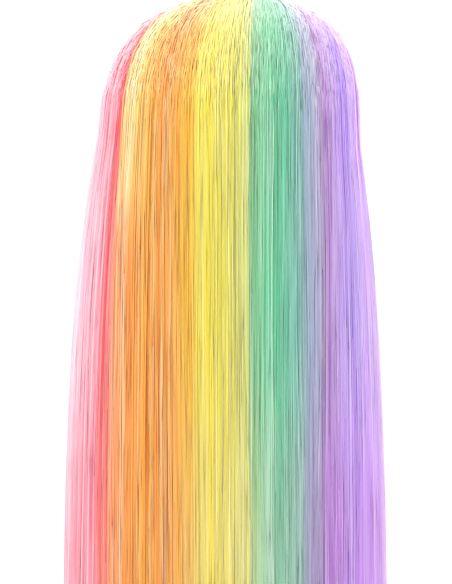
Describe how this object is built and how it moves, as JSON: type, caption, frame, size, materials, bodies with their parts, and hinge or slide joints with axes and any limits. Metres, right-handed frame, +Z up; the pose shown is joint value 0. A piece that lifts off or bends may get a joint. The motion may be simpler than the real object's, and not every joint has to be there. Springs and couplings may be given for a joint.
{
  "type": "long straight costume wig",
  "caption": "Very long, straight, sleek rainbow costume wig with a full fringe, hanging from a stretch cap with ear tabs and adjuster straps.",
  "frame": {"origin": "centre of the cap's opening for the head, at brow level", "axes": "+X is the wearer's right, +Y is the way the face looks, +Z is up"},
  "size_m": [0.249, 0.22, 0.6499],
  "materials": {
    "hair_pink": "satin",
    "hair_coral": "satin",
    "hair_apricot": "satin",
    "hair_orange": "satin",
    "hair_amber": "satin",
    "hair_lemon": "satin",
    "hair_mint": "satin",
    "hair_aqua": "satin",
    "hair_violet": "satin",
    "hair_orchid": "satin",
    "stretch_net": "matte",
    "edge_binding": "matte",
    "rib_elastic": "matte",
    "weft_stitching": "matte",
    "ear_tab_felt": "matte",
    "stay_steel": "satin",
    "loop_ribbon": "matte",
    "hook_plastic": "satin",
    "strap_elastic": "matte"
  },
  "bodies": {
    "cap": {"hair_top_pink": "hair_pink", "hair_top_coral": "hair_coral", "hair_top_apricot": "hair_apricot", "hair_top_orange": "hair_orange", "hair_top_amber": "hair_amber", "hair_top_lemon": "hair_lemon", "hair_top_mint": "hair_mint", "hair_top_aqua": "hair_aqua", "hair_top_violet": "hair_violet", "hair_top_orchid": "hair_orchid", "hair_front_pink": "hair_pink", "hair_front_orange": "hair_orange", "hair_front_lemon": "hair_lemon", "hair_front_mint": "hair_mint", "hair_front_violet": "hair_violet", "crown_swirl": "hair_mint", "crown_net": "stretch_net", "front_band": "edge_binding", "nape_band": "edge_binding", "ear_binding_left": "edge_binding", "ear_binding_right": "edge_binding", "elastic_rib_1": "rib_elastic", "elastic_rib_2": "rib_elastic", "elastic_rib_3": "rib_elastic", "elastic_rib_4": "rib_elastic", "weft_track_1": "weft_stitching", "weft_track_2": "weft_stitching", "weft_track_3": "weft_stitching", "weft_track_4": "weft_stitching", "weft_track_5": "weft_stitching", "weft_track_6": "weft_stitching", "weft_track_7": "weft_stitching", "weft_track_8": "weft_stitching", "weft_track_9": "weft_stitching", "strap_loops_left": "loop_ribbon", "adjuster_strap_left": "strap_elastic", "strap_loops_right": "loop_ribbon", "adjuster_strap_right": "strap_elastic"},
    "hair_length": {"hair_length_pink": "hair_pink", "hair_length_coral": "hair_coral", "hair_length_apricot": "hair_apricot", "hair_length_orange": "hair_orange", "hair_length_amber": "hair_amber", "hair_length_lemon": "hair_lemon", "hair_length_mint": "hair_mint", "hair_length_aqua": "hair_aqua", "hair_length_violet": "hair_violet", "hair_length_orchid": "hair_orchid"},
    "fringe": {"fringe_pink": "hair_pink", "fringe_orange": "hair_orange", "fringe_lemon": "hair_lemon", "fringe_mint": "hair_mint", "fringe_violet": "hair_violet"},
    "ear_tab_left": {"ear_tab_left": "ear_tab_felt", "ear_tab_stay_left": "stay_steel"},
    "strap_hook_left": {"strap_hook_left": "hook_plastic"},
    "ear_tab_right": {"ear_tab_right": "ear_tab_felt", "ear_tab_stay_right": "stay_steel"},
    "strap_hook_right": {"strap_hook_right": "hook_plastic"}
  },
  "joints": [
    {"name": "hair_swing", "type": "hinge", "parent": "cap", "child": "hair_length", "pos_m": [0, -0.046, -0.04], "axis": [1, 0, 0], "range_deg": [-18, 18]},
    {"name": "fringe_lift", "type": "hinge", "parent": "cap", "child": "fringe", "pos_m": [0, 0.07, 0.044], "axis": [1, 0, 0], "range_deg": [0, 25]},
    {"name": "ear_tab_left_bend", "type": "hinge", "parent": "cap", "child": "ear_tab_left", "pos_m": [-0.0727, 0.031, 0.0076], "axis": [-0.2629, -0.9648, 0], "range_deg": [0, 15]},
    {"name": "ear_tab_right_bend", "type": "hinge", "parent": "cap", "child": "ear_tab_right", "pos_m": [0.0727, 0.031, 0.0076], "axis": [-0.2629, 0.9648, 0], "range_deg": [0, 15]},
    {"name": "strap_hook_left_tighten", "type": "hinge", "parent": "cap", "child": "strap_hook_left", "pos_m": [0, -0.03348, -0.037], "axis": [0, 0, 1], "range_deg": [0, 14], "deforming": ["adjuster_strap_left"]},
    {"name": "strap_hook_right_tighten", "type": "hinge", "parent": "cap", "child": "strap_hook_right", "pos_m": [0, -0.03348, -0.037], "axis": [0, 0, -1], "range_deg": [0, 14], "deforming": ["adjuster_strap_right"]}
  ]
}
